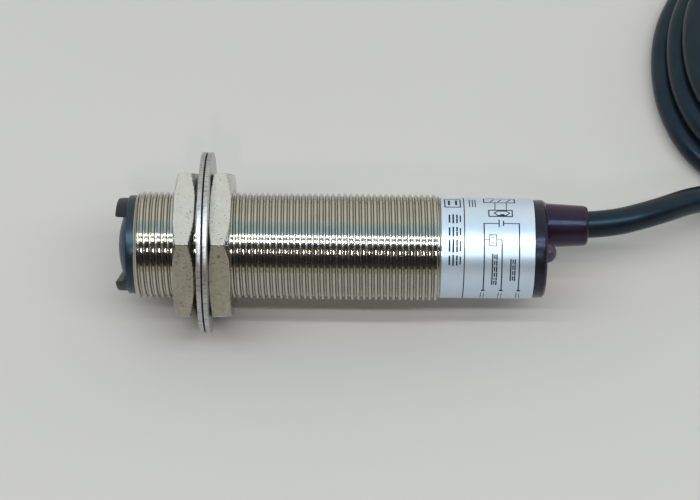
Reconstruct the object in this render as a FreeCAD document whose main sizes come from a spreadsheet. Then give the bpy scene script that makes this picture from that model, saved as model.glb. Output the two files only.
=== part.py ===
import FreeCAD, Part
import math
import os

import Sketcher

# Threaded-barrel photoelectric sensor, M18 x 1, diffuse type, with two lock nuts,
# two plain washers and a moulded cable. Millimetres. +X runs along the barrel from
# the sensing face to the cable, +Z is up, Z = 0 is the surface under the washer rims
# and X = 0 is the middle of the sensor without its cable.

V = FreeCAD.Vector
doc = FreeCAD.newDocument("photoelectric_sensor")

# ---------------------------------------------------------------- dimensions
sheet = doc.addObject("Spreadsheet::Sheet", "dims")
TABLE = [
    # the barrel
    ("axis_height", 14.4),
    ("front_face", -36.5),
    ("thread_radius", 9.0),
    ("pitch", 1.0),
    ("thread_length", 50.8),
    ("thread_count", 50),
    ("thread_lead_in", 0.55),
    ("groove_depth", 0.6),
    ("groove_mouth", 0.48),
    ("groove_root", 0.2),
    ("first_groove", 1.05),
    ("relief_start", 6.81),
    ("relief_end", 8.29),
    ("bore_radius", 7.6),
    ("sleeve_radius", 8.4),
    ("rear_face", 30.4),
    # the front cap and lens
    ("ring_radius", 8.35),
    ("ring_thickness", 1.4),
    ("lug_radius", 7.9),
    ("lug_height", 1.9),
    ("channel_half", 5.4),
    ("channel_angle", 38.8),
    ("lens_radius", 7.0),
    ("lens_seat", 7.05),
    ("dome_height", 1.75),
    ("dome_radius", 14.875),
    ("spigot_radius", 7.55),
    ("spigot_bore", 6.3),
    ("spigot_length", 4.5),
    ("seal_ring", 7.29),
    ("seal_section", 0.29),
    # the optics and electronics
    ("holder_radius", 6.2),
    ("holder_start", -35.9),
    ("holder_end", -22.0),
    ("optic_offset", 3.2),
    ("optic_bore", 2.6),
    ("diode_radius", 2.45),
    ("diode_base", -24.0),
    ("diode_length", 5.0),
    ("liner_outer", 7.5),
    ("liner_inner", 7.0),
    ("liner_start", -31.8),
    ("liner_end", 25.8),
    ("board_width", 13.0),
    ("board_thickness", 1.0),
    ("board_start", -21.4),
    ("board_end", 25.6),
    ("chip_side", 6.0),
    ("chip_thickness", 1.3),
    ("chip_start", -12.0),
    ("capacitor_radius", 1.6),
    ("capacitor_start", 0.0),
    ("capacitor_length", 7.5),
    ("transistor_length", 6.5),
    ("transistor_width", 3.5),
    ("transistor_thickness", 1.7),
    ("transistor_start", 12.5),
    # the rear cap
    ("cap_radius", 8.3),
    ("cap_back", 32.5),
    ("cap_inside", 30.9),
    ("cap_edge", 0.45),
    ("rear_spigot_start", 26.6),
    ("rear_spigot_bore", 6.5),
    ("boot_side", 3.46),
    ("boot_up", 2.0),
    ("boot_root_radius", 3.75),
    ("boot_tip_radius", 3.4),
    ("boot_end", 39.8),
    ("boot_tip_round", 0.6),
    ("boot_bore", 2.34),
    ("jacket_start", 33.0),
    ("core_hole", 1.9),
    ("dome_led_side", -3.11),
    ("dome_led_up", 3.98),
    ("dome_led_radius", 1.7),
    ("trimmer_side", 1.15),
    ("trimmer_up", -4.25),
    ("trimmer_hole", 1.45),
    ("trimmer_outer", 2.0),
    ("trimmer_start", 26.2),
    ("trimmer_end", 30.8),
    ("trimmer_bore", 1.25),
    ("screw_radius", 1.2),
    ("screw_start", 28.0),
    ("screw_end", 31.7),
    ("screw_slot_width", 0.5),
    ("screw_slot_depth", 0.7),
    ("led_radius", 1.2),
    ("led_start", 25.9),
    ("led_end", 30.7),
    ("label_outer", 8.5),
    ("label_start", 14.8),
    ("label_end", 30.35),
    # nuts and washers
    ("nut_flats", 24.0),
    ("nut_thickness", 3.5),
    ("nut_bore", 9.05),
    ("nut_corner", 13.8565),
    ("nut_chamfer_start", 12.3),
    ("nut_chamfer_depth", 0.46),
    ("nut_bore_chamfer", 0.5),
    ("front_nut_x", -29.7),
    ("rear_nut_x", -23.7),
    ("washer_radius", 15.3),
    ("washer_bore", 9.93),
    ("washer_thickness", 0.75),
    ("washer_height", 15.3),
    ("front_washer_x", -25.5),
    ("rear_washer_x", -24.5),
    # the cable
    ("cable_radius", 2.3),
    ("coil_x", 85.3),
    ("coil_y", 45.4),
    ("coil_inner", 16.1),
    ("coil_outer", 29.9),
    ("coil_top", 12.6),
    ("core_radius", 0.65),
    ("tip_radius", 0.4),
]
D = {}
for row, (alias, value) in enumerate(TABLE, start=1):
    sheet.set("A%d" % row, alias)
    sheet.set("B%d" % row, "%g" % value)
    sheet.setAlias("B%d" % row, alias)
    D[alias] = float(value)
doc.recompute()


class Q:
    """A size: its number now, and the sheet expression that drives it."""

    def __init__(self, expr, value):
        self.expr, self.value = expr, float(value)

    @staticmethod
    def of(x):
        return x if isinstance(x, Q) else Q("%g" % x, x)

    def __add__(self, o):
        o = Q.of(o)
        return Q("(%s + %s)" % (self.expr, o.expr), self.value + o.value)

    def __sub__(self, o):
        o = Q.of(o)
        return Q("(%s - %s)" % (self.expr, o.expr), self.value - o.value)

    def __mul__(self, o):
        o = Q.of(o)
        return Q("(%s * %s)" % (self.expr, o.expr), self.value * o.value)

    def __truediv__(self, o):
        o = Q.of(o)
        return Q("(%s / %s)" % (self.expr, o.expr), self.value / o.value)

    def __neg__(self):
        return Q("(0 - %s)" % self.expr, -self.value)


def q(alias):
    return Q("dims." + alias, D[alias])


AXIS = q("axis_height")
ZERO = Q("0", 0)
TO_X = FreeCAD.Rotation(V(0, 1, 0), 90)  # turns a primitive's own Z onto X
parts = []


def bind(obj, prop, size):
    size = Q.of(size)
    obj.setExpression(prop, size.expr)
    return size.value


def place(obj, x, y, z, rotation=None):
    x, y, z = Q.of(x), Q.of(y), Q.of(z)
    obj.Placement = FreeCAD.Placement(
        V(x.value, y.value, z.value), rotation or FreeCAD.Rotation()
    )
    for axis, size in (("x", x), ("y", y), ("z", z)):
        obj.setExpression("Placement.Base." + axis, size.expr)


def keep(obj, label):
    obj.Label = label
    parts.append(obj)
    return obj


# ---------------------------------------------------------------- Part primitives
def cylinder(name, radius, x_start, x_end, y=ZERO, z=AXIS):
    c = doc.addObject("Part::Cylinder", name)
    bind(c, "Radius", radius)
    bind(c, "Height", Q.of(x_end) - Q.of(x_start))
    place(c, x_start, y, z, TO_X)
    return c


def cone(name, r_start, r_end, x_start, x_end, y=ZERO, z=AXIS):
    c = doc.addObject("Part::Cone", name)
    bind(c, "Radius1", r_start)
    bind(c, "Radius2", r_end)
    bind(c, "Height", Q.of(x_end) - Q.of(x_start))
    place(c, x_start, y, z, TO_X)
    return c


def ball(name, radius, x, y=ZERO, z=AXIS):
    s = doc.addObject("Part::Sphere", name)
    bind(s, "Radius", radius)
    place(s, x, y, z)
    return s


def ring(name, radius, section, x, y=ZERO, z=AXIS):
    t = doc.addObject("Part::Torus", name)
    bind(t, "Radius1", radius)
    bind(t, "Radius2", section)
    place(t, x, y, z, TO_X)
    return t


def box(name, length, width, height, x, y, z, rotation=None):
    b = doc.addObject("Part::Box", name)
    bind(b, "Length", length)
    bind(b, "Width", width)
    bind(b, "Height", height)
    place(b, x, y, z, rotation)
    return b


def fuse(name, shapes):
    f = doc.addObject("Part::MultiFuse", name)
    f.Shapes = shapes
    return f


def common(name, shapes):
    f = doc.addObject("Part::MultiCommon", name)
    f.Shapes = shapes
    return f


def cut(name, base, tool):
    c = doc.addObject("Part::Cut", name)
    c.Base = base
    c.Tool = tool
    return c


# ---------------------------------------------------------------- PartDesign bodies
def body(name):
    return doc.addObject("PartDesign::Body", name)


def origin_plane(b, role):
    for feature in b.Origin.OriginFeatures:
        if feature.Role == role:
            return feature
    raise RuntimeError("no origin plane " + role)


def new_sketch(b, name, role):
    s = b.newObject("Sketcher::SketchObject", name)
    s.AttachmentSupport = [(origin_plane(b, role), "")]
    s.MapMode = "FlatFace"
    return s


def outline(sketch, points):
    """A closed outline through points given as pairs of sizes, each corner held to the origin."""
    points = [(Q.of(x), Q.of(y)) for x, y in points]
    n = len(points)
    first = sketch.GeometryCount
    for i in range(n):
        (x0, y0), (x1, y1) = points[i], points[(i + 1) % n]
        sketch.addGeometry(
            Part.LineSegment(V(x0.value, y0.value, 0), V(x1.value, y1.value, 0)), False
        )
    for i in range(n):
        sketch.addConstraint(
            Sketcher.Constraint("Coincident", first + i, 2, first + (i + 1) % n, 1)
        )
    for i, (x, y) in enumerate(points):
        for kind, size in (("DistanceX", x), ("DistanceY", y)):
            if abs(size.value) < 1e-9:
                other = -2 if kind == "DistanceX" else -1
                sketch.addConstraint(
                    Sketcher.Constraint("PointOnObject", first + i, 1, other)
                )
                continue
            index = sketch.addConstraint(
                Sketcher.Constraint(kind, -1, 1, first + i, 1, size.value)
            )
            sketch.setExpression("Constraints[%d]" % index, size.expr)


def circle(sketch, radius):
    radius = Q.of(radius)
    g = sketch.addGeometry(Part.Circle(V(0, 0, 0), V(0, 0, 1), radius.value), False)
    sketch.addConstraint(Sketcher.Constraint("Coincident", g, 3, -1, 1))
    index = sketch.addConstraint(Sketcher.Constraint("Radius", g, radius.value))
    sketch.setExpression("Constraints[%d]" % index, radius.expr)


def turn(b, name, sketch, kind="PartDesign::Revolution", axis="H_Axis"):
    f = b.newObject(kind, name)
    f.Profile = sketch
    f.ReferenceAxis = (sketch, [axis])
    f.Angle = 360
    sketch.Visibility = False
    b.Tip = f
    return f


def turned(name, points, axis="H_Axis", role="XY_Plane"):
    """A body turned from one outline: first coordinate along the axis, second from it."""
    b = body(name)
    s = new_sketch(b, name + "_outline", role)
    outline(s, points)
    turn(b, name + "_turned", s, axis=axis)
    return b


def must_shrink(b, before, what):
    doc.recompute()
    if not b.Shape.Volume < before - 1e-6:
        raise RuntimeError("%s removed nothing" % what)
    return b.Shape.Volume


# ================================================================ barrel
thread_end = q("front_face") + q("thread_length")
barrel = body("barrel")
s = new_sketch(barrel, "barrel_outline", "XY_Plane")
outline(
    s,
    [
        (q("front_face"), q("bore_radius")),
        (q("front_face"), q("thread_radius") - q("thread_lead_in")),
        (q("front_face") + q("thread_lead_in"), q("thread_radius")),
        (thread_end - 0.5, q("thread_radius")),
        (thread_end, q("sleeve_radius")),
        (q("rear_face"), q("sleeve_radius")),
        (q("rear_face"), q("bore_radius")),
    ],
)
turn(barrel, "barrel_tube", s)
place(barrel, 0, 0, AXIS)
doc.recompute()
volume = barrel.Shape.Volume

# one ring of the thread, repeated at the pitch
s = new_sketch(barrel, "groove_outline", "XY_Plane")
groove_x = q("front_face") + q("first_groove")
outline(
    s,
    [
        (groove_x - q("groove_mouth") / 2, q("thread_radius") + 0.001),
        (groove_x - q("groove_root") / 2, q("thread_radius") - q("groove_depth")),
        (groove_x + q("groove_root") / 2, q("thread_radius") - q("groove_depth")),
        (groove_x + q("groove_mouth") / 2, q("thread_radius") + 0.001),
    ],
)
groove = turn(barrel, "thread_groove", s, kind="PartDesign::Groove")
volume = must_shrink(barrel, volume, "the first groove")
pattern = barrel.newObject("PartDesign::LinearPattern", "thread_pattern")
pattern.Originals = [groove]
pattern.Direction = (s, ["H_Axis"])
pattern.setExpression("Length", "(dims.thread_count - 1) * dims.pitch")
pattern.setExpression("Occurrences", "dims.thread_count")
barrel.Tip = pattern
volume = must_shrink(barrel, volume, "the thread pattern")

# a relief under the front nut, at the end of the free stretch of thread
s = new_sketch(barrel, "relief_outline", "XY_Plane")
outline(
    s,
    [
        (q("front_face") + q("relief_start"), q("thread_radius") + 0.002),
        (
            q("front_face") + q("relief_start"),
            q("thread_radius") - q("groove_depth"),
        ),
        (q("front_face") + q("relief_end"), q("thread_radius") - q("groove_depth")),
        (q("front_face") + q("relief_end"), q("thread_radius") + 0.002),
    ],
)
turn(barrel, "thread_relief", s, kind="PartDesign::Groove")
volume = must_shrink(barrel, volume, "the thread relief")
keep(barrel, "barrel")

# ================================================================ front cap
# The sensing face has two lugs, one each side of a straight channel.
across = math.radians(D["channel_angle"])
N = V(0, math.cos(across), math.sin(across))  # across the channel
C = V(0, -math.sin(across), math.cos(across))  # along the channel
TO_CHANNEL = FreeCAD.Rotation(V(1, 0, 0), V(0, N.y, N.z), V(0, C.y, C.z), "XYZ")
ring_front = q("front_face") - q("ring_thickness")
lug_front = ring_front - q("lug_height")


def side(n, c):
    """Y and Z, as sizes, of a point n across the channel and c along it from the barrel axis."""
    n, c = Q.of(n), Q.of(c)
    cos = Q("cos(dims.channel_angle * 1 deg)", math.cos(across))
    sin = Q("sin(dims.channel_angle * 1 deg)", math.sin(across))
    return n * cos - c * sin, AXIS + n * sin + c * cos


front_ring = turned(
    "front_ring",
    [
        (ring_front, q("lens_seat")),
        (ring_front, q("ring_radius") - 0.25),
        (ring_front + 0.25, q("ring_radius")),
        (q("front_face"), q("ring_radius")),
        (q("front_face"), q("spigot_radius")),
        (q("front_face") + 1.9, q("spigot_radius")),
        (q("front_face") + 1.9, q("liner_inner")),
        (q("front_face") + 2.6, q("liner_inner")),
        (q("front_face") + 2.6, q("spigot_radius")),
        (q("front_face") + q("spigot_length"), q("spigot_radius")),
        (q("front_face") + q("spigot_length"), q("spigot_bore")),
        (q("holder_start") - 0.1, q("spigot_bore")),
        (q("holder_start") - 0.1, q("lens_seat")),
    ],
)
place(front_ring, 0, 0, AXIS)
lug_disc = cylinder("lug_disc", q("lug_radius"), lug_front, ring_front + 0.2)
slab_y, slab_z = side(-q("channel_half"), Q.of(-12))
channel = box(
    "channel",
    4,
    q("channel_half") * 2,
    24,
    lug_front - 1,
    slab_y,
    slab_z,
    TO_CHANNEL,
)
lugs = cut("lugs", lug_disc, channel)
lens_pocket = cylinder(
    "lens_pocket", q("lens_seat"), ring_front, q("holder_start") - 0.1
)
front_solid = fuse("front_solid", [front_ring, lugs])
keep(cut("front_cap", front_solid, lens_pocket), "front_cap")

# lens: a disc in the ring, with a low dome standing in the channel
lens_base = cylinder(
    "lens_base", q("lens_radius"), ring_front + 0.02, q("holder_start") - 0.15
)
dome_ball = ball(
    "dome_ball", q("dome_radius"), ring_front - q("dome_height") + q("dome_radius")
)
dome_disc = cylinder(
    "dome_disc",
    q("lens_radius"),
    ring_front - q("dome_height") - 0.5,
    ring_front + 0.3,
)
slab_y2, slab_z2 = side(-(q("channel_half") - 0.05), Q.of(-12))
dome_slab = box(
    "dome_slab",
    6,
    (q("channel_half") - 0.05) * 2,
    24,
    lug_front - 1,
    slab_y2,
    slab_z2,
    TO_CHANNEL,
)
dome = common("dome", [dome_ball, dome_disc, dome_slab])
keep(fuse("front_lens", [lens_base, dome]), "front_lens")

keep(
    ring("front_seal", q("seal_ring"), q("seal_section"), q("front_face") + 2.25),
    "front_seal",
)

# ================================================================ optics
up_y, up_z = side(0, q("optic_offset"))
down_y, down_z = side(0, -q("optic_offset"))
holder = cylinder("holder", q("holder_radius"), q("holder_start"), q("holder_end"))
bore_one = cylinder(
    "bore_one", q("optic_bore"), q("holder_start") - 1, q("holder_end") + 1, up_y, up_z
)
bore_two = cylinder(
    "bore_two",
    q("optic_bore"),
    q("holder_start") - 1,
    q("holder_end") + 1,
    down_y,
    down_z,
)
keep(
    cut("optics_holder", holder, fuse("optic_bores", [bore_one, bore_two])),
    "optics_holder",
)


def diode(name, y, z):
    start = q("diode_base") - q("diode_length")
    pieces = [
        cylinder(
            name + "_case", q("diode_radius"), start + 2, q("diode_base"), y, z
        ),
        ball(name + "_nose", q("diode_radius"), start + 2.2, y, z),
    ]
    dy, dz = side(0.85, 0)
    for tag, sign in (("a", 1), ("b", -1)):
        pieces.append(
            cylinder(
                name + "_leg_" + tag,
                0.24,
                q("diode_base") - 0.5,
                q("board_start") + 3,
                y + dy * sign,
                z + (dz - AXIS) * sign,
            )
        )
    return keep(fuse(name, pieces), name)


diode("emitter_led", up_y, up_z)
diode("receiver_diode", down_y, down_z)

liner_out = cylinder("liner_out", q("liner_outer"), q("liner_start"), q("liner_end"))
liner_in = cylinder(
    "liner_in", q("liner_inner"), q("liner_start") - 1, q("liner_end") + 1
)
keep(cut("inner_sleeve", liner_out, liner_in), "inner_sleeve")

# ================================================================ circuit board
board_y, board_z = side(-q("board_thickness") / 2, -q("board_width") / 2)
keep(
    box(
        "circuit_board",
        q("board_end") - q("board_start"),
        q("board_thickness"),
        q("board_width"),
        q("board_start"),
        board_y,
        board_z,
        TO_CHANNEL,
    ),
    "circuit_board",
)
y, z = side(q("board_thickness") / 2, -q("chip_side") / 2)
keep(
    box(
        "control_chip",
        q("chip_side"),
        q("chip_thickness"),
        q("chip_side"),
        q("chip_start"),
        y,
        z,
        TO_CHANNEL,
    ),
    "control_chip",
)
y, z = side(q("board_thickness") / 2, q("transistor_width") / 2)
keep(
    box(
        "output_transistor",
        q("transistor_length"),
        q("transistor_thickness"),
        q("transistor_width"),
        q("transistor_start"),
        y,
        z,
        TO_CHANNEL,
    ),
    "output_transistor",
)
y, z = side(q("board_thickness") / 2 + q("capacitor_radius"), Q.of(-1.5))
keep(
    cylinder(
        "buffer_capacitor",
        q("capacitor_radius"),
        q("capacitor_start"),
        q("capacitor_start") + q("capacitor_length"),
        y,
        z,
    ),
    "buffer_capacitor",
)

# ================================================================ rear cap
rear_disc = turned(
    "rear_disc",
    [
        (q("rear_spigot_start"), q("rear_spigot_bore")),
        (q("rear_spigot_start"), q("spigot_radius")),
        (q("rear_spigot_start") + 1.2, q("spigot_radius")),
        (q("rear_spigot_start") + 1.2, q("liner_inner")),
        (q("rear_spigot_start") + 1.9, q("liner_inner")),
        (q("rear_spigot_start") + 1.9, q("spigot_radius")),
        (q("rear_face"), q("spigot_radius")),
        (q("rear_face"), q("cap_radius")),
        (q("cap_back") - q("cap_edge"), q("cap_radius")),
        (q("cap_back"), q("cap_radius") - q("cap_edge")),
        (q("cap_back"), ZERO),
        (q("cap_inside"), ZERO),
        (q("cap_inside"), q("rear_spigot_bore")),
    ],
)
place(rear_disc, 0, 0, AXIS)
boot_y, boot_z = q("boot_side"), AXIS + q("boot_up")
boot = turned(
    "boot",
    [
        (q("cap_back") - 0.3, ZERO),
        (q("cap_back") - 0.3, q("boot_root_radius") + 0.25),
        (q("cap_back"), q("boot_root_radius") + 0.25),
        (q("cap_back") + 0.3, q("boot_root_radius")),
        (q("boot_end") - q("boot_tip_round"), q("boot_tip_radius")),
        (
            q("boot_end") - q("boot_tip_round") * 0.3,
            q("boot_tip_radius") - q("boot_tip_round") * 0.3,
        ),
        (q("boot_end"), q("boot_tip_radius") - q("boot_tip_round")),
        (q("boot_end"), ZERO),
    ],
)
place(boot, 0, boot_y, boot_z)
led_y, led_z = q("dome_led_side"), AXIS + q("dome_led_up")
led_ball = ball("led_ball", q("dome_led_radius"), q("cap_back"), led_y, led_z)
trim_y, trim_z = q("trimmer_side"), AXIS + q("trimmer_up")
rear_solid = fuse("rear_solid", [rear_disc, boot, led_ball])
rear_holes = fuse(
    "rear_holes",
    [
        cylinder(
            "boot_hole",
            q("boot_bore"),
            q("jacket_start"),
            q("boot_end") + 1,
            boot_y,
            boot_z,
        ),
        cylinder(
            "core_passage",
            q("core_hole"),
            q("cap_inside") - 1,
            q("jacket_start") + 0.5,
            boot_y,
            boot_z,
        ),
        cylinder(
            "trimmer_access",
            q("trimmer_hole"),
            q("cap_inside") - 1,
            q("cap_back") + 1,
            trim_y,
            trim_z,
        ),
        # the dome over the indicator is hollowed from inside, as a light guide
        cylinder(
            "led_pocket",
            q("led_radius") + 0.1,
            q("cap_inside") - 1.5,
            q("cap_inside") + 0.5,
            led_y,
            led_z,
        ),
    ],
)
keep(cut("rear_cap", rear_solid, rear_holes), "rear_cap")
keep(
    ring(
        "rear_seal", q("seal_ring"), q("seal_section"), q("rear_spigot_start") + 1.55
    ),
    "rear_seal",
)

# indicator and sensitivity trimmer behind the cap
led_case = cylinder("led_case", q("led_radius"), q("led_start"), q("led_end") - 0.6, led_y, led_z)
led_nose = ball("led_nose", q("led_radius") - 0.1, q("led_end") - 0.9, led_y, led_z)
keep(fuse("indicator_led", [led_case, led_nose]), "indicator_led")

trim_case = cylinder(
    "trim_case", q("trimmer_outer"), q("trimmer_start"), q("trimmer_end"), trim_y, trim_z
)
trim_bore = cylinder(
    "trim_bore",
    q("trimmer_bore"),
    q("screw_start") - 0.05,
    q("trimmer_end") + 1,
    trim_y,
    trim_z,
)
keep(cut("trimmer_body", trim_case, trim_bore), "trimmer_body")
screw = cylinder(
    "screw", q("screw_radius"), q("screw_start"), q("screw_end"), trim_y, trim_z
)
screw_slot = box(
    "screw_slot",
    2,
    q("screw_slot_width"),
    6,
    q("screw_end") - q("screw_slot_depth"),
    trim_y - q("screw_slot_width") / 2,
    trim_z - 3,
)
keep(cut("trimmer_screw", screw, screw_slot), "trimmer_screw")

# foil label round the smooth rear of the barrel
label_out = cylinder("label_out", q("label_outer"), q("label_start"), q("label_end"))
label_in = cylinder(
    "label_in", q("sleeve_radius"), q("label_start") - 1, q("label_end") + 1
)
keep(cut("label_wrap", label_out, label_in), "label_wrap")


# ================================================================ nuts and washers
def nut(name, x):
    b = body(name)
    s = new_sketch(b, name + "_hexagon", "YZ_Plane")
    r = q("nut_flats") / Q("sqrt(3)", math.sqrt(3))
    half = q("nut_flats") / 2
    outline(
        s,
        [
            (r, ZERO),
            (r / 2, half),
            (-(r / 2), half),
            (-r, ZERO),
            (-(r / 2), -half),
            (r / 2, -half),
        ],
    )
    pad = b.newObject("PartDesign::Pad", name + "_pad")
    pad.Profile = s
    bind(pad, "Length", q("nut_thickness"))
    b.Tip = pad
    doc.recompute()
    volume = b.Shape.Volume
    # the bore and its two countersinks
    s = new_sketch(b, name + "_bore_outline", "XY_Plane")
    outline(
        s,
        [
            (Q.of(-0.5), ZERO),
            (Q.of(-0.5), q("nut_bore") + q("nut_bore_chamfer") + 0.5),
            (q("nut_bore_chamfer"), q("nut_bore")),
            (q("nut_thickness") - q("nut_bore_chamfer"), q("nut_bore")),
            (
                q("nut_thickness") + 0.5,
                q("nut_bore") + q("nut_bore_chamfer") + 0.5,
            ),
            (q("nut_thickness") + 0.5, ZERO),
        ],
    )
    turn(b, name + "_bore", s, kind="PartDesign::Groove")
    volume = must_shrink(b, volume, name + " bore")
    # the corners are turned off on both faces
    for tag, face, sign in (("front", ZERO, 1), ("back", q("nut_thickness"), -1)):
        s = new_sketch(b, name + "_corner_" + tag, "XY_Plane")
        outline(
            s,
            [
                (face, q("nut_chamfer_start")),
                (face + q("nut_chamfer_depth") * 1.5 * sign,
                 q("nut_chamfer_start") + (q("nut_corner") - q("nut_chamfer_start")) * 1.5),
                (face, q("nut_chamfer_start") + (q("nut_corner") - q("nut_chamfer_start")) * 1.5),
            ],
        )
        turn(b, name + "_chamfer_" + tag, s, kind="PartDesign::Groove")
        volume = must_shrink(b, volume, name + " corners")
    place(b, x, 0, AXIS)
    return keep(b, name)


def washer(name, x):
    b = body(name)
    s = new_sketch(b, name + "_outline", "YZ_Plane")
    circle(s, q("washer_radius"))
    circle(s, q("washer_bore"))
    pad = b.newObject("PartDesign::Pad", name + "_pad")
    pad.Profile = s
    bind(pad, "Length", q("washer_thickness"))
    b.Tip = pad
    place(b, x, 0, q("washer_height"))
    return keep(b, name)


nut("front_nut", q("front_nut_x"))
nut("rear_nut", q("rear_nut_x"))
washer("front_washer", q("front_washer_x"))
washer("rear_washer", q("rear_washer_x"))

# ================================================================ cable
def size(alias):
    return float(sheet.get(alias))


def tube(points, radius, what, say=True):
    """A round tube along straight runs, with an arc as large as its two runs allow at each corner."""
    points = [V(*p) for p in points]
    edges, start, length = [], points[0], 0.0
    for before, corner, after in zip(points, points[1:], points[2:]):
        a, b = corner - before, after - corner
        half = a.getAngle(b) / 2
        back = 0.45 * min(a.Length, b.Length)
        bend = back / math.tan(half)
        u, w = V(a).normalize(), V(b).normalize()
        p0, p2 = corner - u * back, corner + w * back
        inward = (w - u).normalize()
        centre = corner + inward * (bend / math.cos(half))
        p1 = centre + (corner - centre).normalize() * bend
        if (p0 - start).Length > 1e-6:
            edges.append(Part.LineSegment(start, p0).toShape())
        edges.append(Part.Arc(p0, p1, p2).toShape())
        start = p2
        if say:
            print(
                "%s: turn %.1f deg, radius %.1f mm (%.1f diameters)"
                % (what, math.degrees(2 * half), bend, bend / radius / 2)
            )
    edges.append(Part.LineSegment(start, points[-1]).toShape())
    path = Part.Wire(edges)
    heading = (points[1] - points[0]).normalize()
    section = Part.Wire([Part.makeCircle(radius, points[0], heading)])
    solid = path.makePipeShell([section], True, True)
    want = math.pi * radius**2 * path.Length
    print(
        "%s: length %.2f mm, volume %.2f of %.2f mm3"
        % (what, path.Length, solid.Volume, want)
    )
    if abs(solid.Volume / want - 1) > 0.01:
        raise RuntimeError(what + ": the tube's volume is wrong")
    return solid, path.Length


def solid_part(label, shape):
    f = doc.addObject("Part::Feature", label)
    f.Shape = shape
    f.Placement = FreeCAD.Placement()
    return keep(f, label)


z_axis = size("axis_height")
exit_y, exit_z = size("boot_side"), z_axis + size("boot_up")
lead = [
    (size("jacket_start"), exit_y, exit_z),
    (42.2, exit_y, exit_z),
    (51.0, 6.45, 15.25),
    (60.0, 11.6, 12.0),
    (70.3, 15.1, 6.6),
    (80.2, 16.5, 2.35),
    (90.1, 18.2, 2.35),
]
shape, lead_length = tube(lead, size("cable_radius"), "cable_lead")
solid_part("cable_lead", shape)

# the coil as one closed ring of its outer shape
coil = turned(
    "cable_coil",
    [
        (q("coil_inner"), Q.of(1.3)),
        (q("coil_inner") + 1.3, ZERO),
        (q("coil_outer") - 1.3, ZERO),
        (q("coil_outer"), Q.of(1.3)),
        (q("coil_outer"), Q.of(3.3)),
        (q("coil_outer") - 4.6, q("coil_top") - 1.1),
        (q("coil_outer") - 5.7, q("coil_top")),
        (q("coil_inner") + 1.3, q("coil_top")),
        (q("coil_inner"), q("coil_top") - 1.3),
    ],
    axis="V_Axis",
    role="XZ_Plane",
)
place(coil, q("coil_x"), q("coil_y"), 0)
keep(coil, "cable_coil")

# the free end curls down into the middle of the coil and ends in three bare cores
cx, cy = size("coil_x"), size("coil_y")


def curl(angle, radius, height):
    a = math.radians(angle)
    return (cx + radius * math.cos(a), cy + radius * math.sin(a), height)


tail = [
    curl(300, 19.6, 10.3),
    curl(340, 19.3, 10.1),
    curl(380, 17.6, 8.6),
    curl(420, 15.6, 6.3),
    curl(460, 14.2, 3.4),
    curl(500, 13.6, 2.35),
]
shape, tail_length = tube(tail, size("cable_radius"), "cable_tail")
solid_part("cable_tail", shape)

end = V(*tail[-1])
heading = end - V(*tail[-2])
heading = V(heading.x, heading.y, 0).normalize()
sidew = V(-heading.y, heading.x, 0)
# each core: distance ahead, distance to the left, height
cores = (
    (
        "wire_brown",
        [(0, 0.75, 2.0), (2.9, 2.6, 1.25), (4.4, 5.6, 0.66), (5.0, 9.0, 0.66), (4.4, 13.2, 0.66)],
    ),
    (
        "wire_blue",
        [(0, 0.0, 3.25), (3.6, 0.95, 2.2), (5.8, 4.0, 0.8), (7.2, 7.8, 0.66), (7.4, 12.4, 0.66)],
    ),
    (
        "wire_black",
        [(0, -0.75, 2.0), (3.7, -0.15, 1.2), (7.0, 2.9, 0.66), (9.0, 7.0, 0.66), (9.5, 11.6, 0.66)],
    ),
)
for label, stations in cores:
    p = [
        V(end.x, end.y, 0) + heading * ahead + sidew * left + V(0, 0, up)
        for ahead, left, up in stations
    ]
    shape, _ = tube([tuple(v) for v in p], size("core_radius"), label)
    run = (p[-1] - p[-2]).normalize()
    tip, _ = tube(
        [tuple(p[-1] - run * 0.5), tuple(p[-1] + run * 4.0)],
        size("tip_radius"),
        label + " tip",
    )
    solid_part(label, shape.fuse(tip).removeSplitter())

# the same three cores inside, from the end of the jacket to the board
NV, CV = V(0, N.y, N.z), V(0, C.y, C.z)
axis_point = V(0, 0, z_axis)
root = V(size("jacket_start"), exit_y, exit_z)
inside = (
    ("inner_lead_brown", 0.75, 0.55, 2.6),
    ("inner_lead_blue", -0.75, 0.55, -2.6),
    ("inner_lead_black", 0.0, -0.8, 0.0),
)
for label, along, over, pad_at in inside:
    start = root + CV * along + NV * over
    lift = size("board_thickness") / 2 + 0.62
    n0 = (start - axis_point).dot(NV)
    c0 = (start - axis_point).dot(CV)

    def at(x, n, c):
        return V(x, 0, 0) + axis_point + NV * n + CV * c

    p = [
        at(size("jacket_start") - 0.05, n0, c0),
        at(28.6, n0 - 0.1, c0),
        at(25.2, n0 * 0.55 + lift * 0.45, c0 * 0.5 + pad_at * 0.5),
        at(22.2, lift + 0.15, pad_at * 0.92),
        at(19.4, lift, pad_at),
    ]
    shape, _ = tube([tuple(v) for v in p], 0.55, label, say=False)
    solid_part(label, shape)

# ================================================================ checks and files
doc.recompute()
bad = []
for obj in doc.Objects:
    if "Invalid" in obj.State or "Error" in obj.State:
        bad.append("%s is %s" % (obj.Name, obj.State))
for obj in parts:
    if obj.Shape.isNull() or not obj.Shape.isValid():
        bad.append(obj.Label + " has no valid shape")
    elif len(obj.Shape.Solids) < 1:
        bad.append(obj.Label + " holds no solid")
if bad:
    raise RuntimeError("; ".join(bad))

os.makedirs("parts", exist_ok=True)
for obj in parts:
    obj.Shape.exportStep("parts/%s.step" % obj.Label)
    b = obj.Shape.BoundBox
    print(
        "%-18s solids %d volume %9.2f  X %.2f..%.2f Y %.2f..%.2f Z %.2f..%.2f"
        % (
            obj.Label,
            len(obj.Shape.Solids),
            obj.Shape.Volume,
            b.XMin,
            b.XMax,
            b.YMin,
            b.YMax,
            b.ZMin,
            b.ZMax,
        )
    )
print("lead %.1f mm, tail %.1f mm" % (lead_length, tail_length))
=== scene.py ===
import math

import bmesh
import bpy
from mathutils import Matrix, Vector


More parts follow.
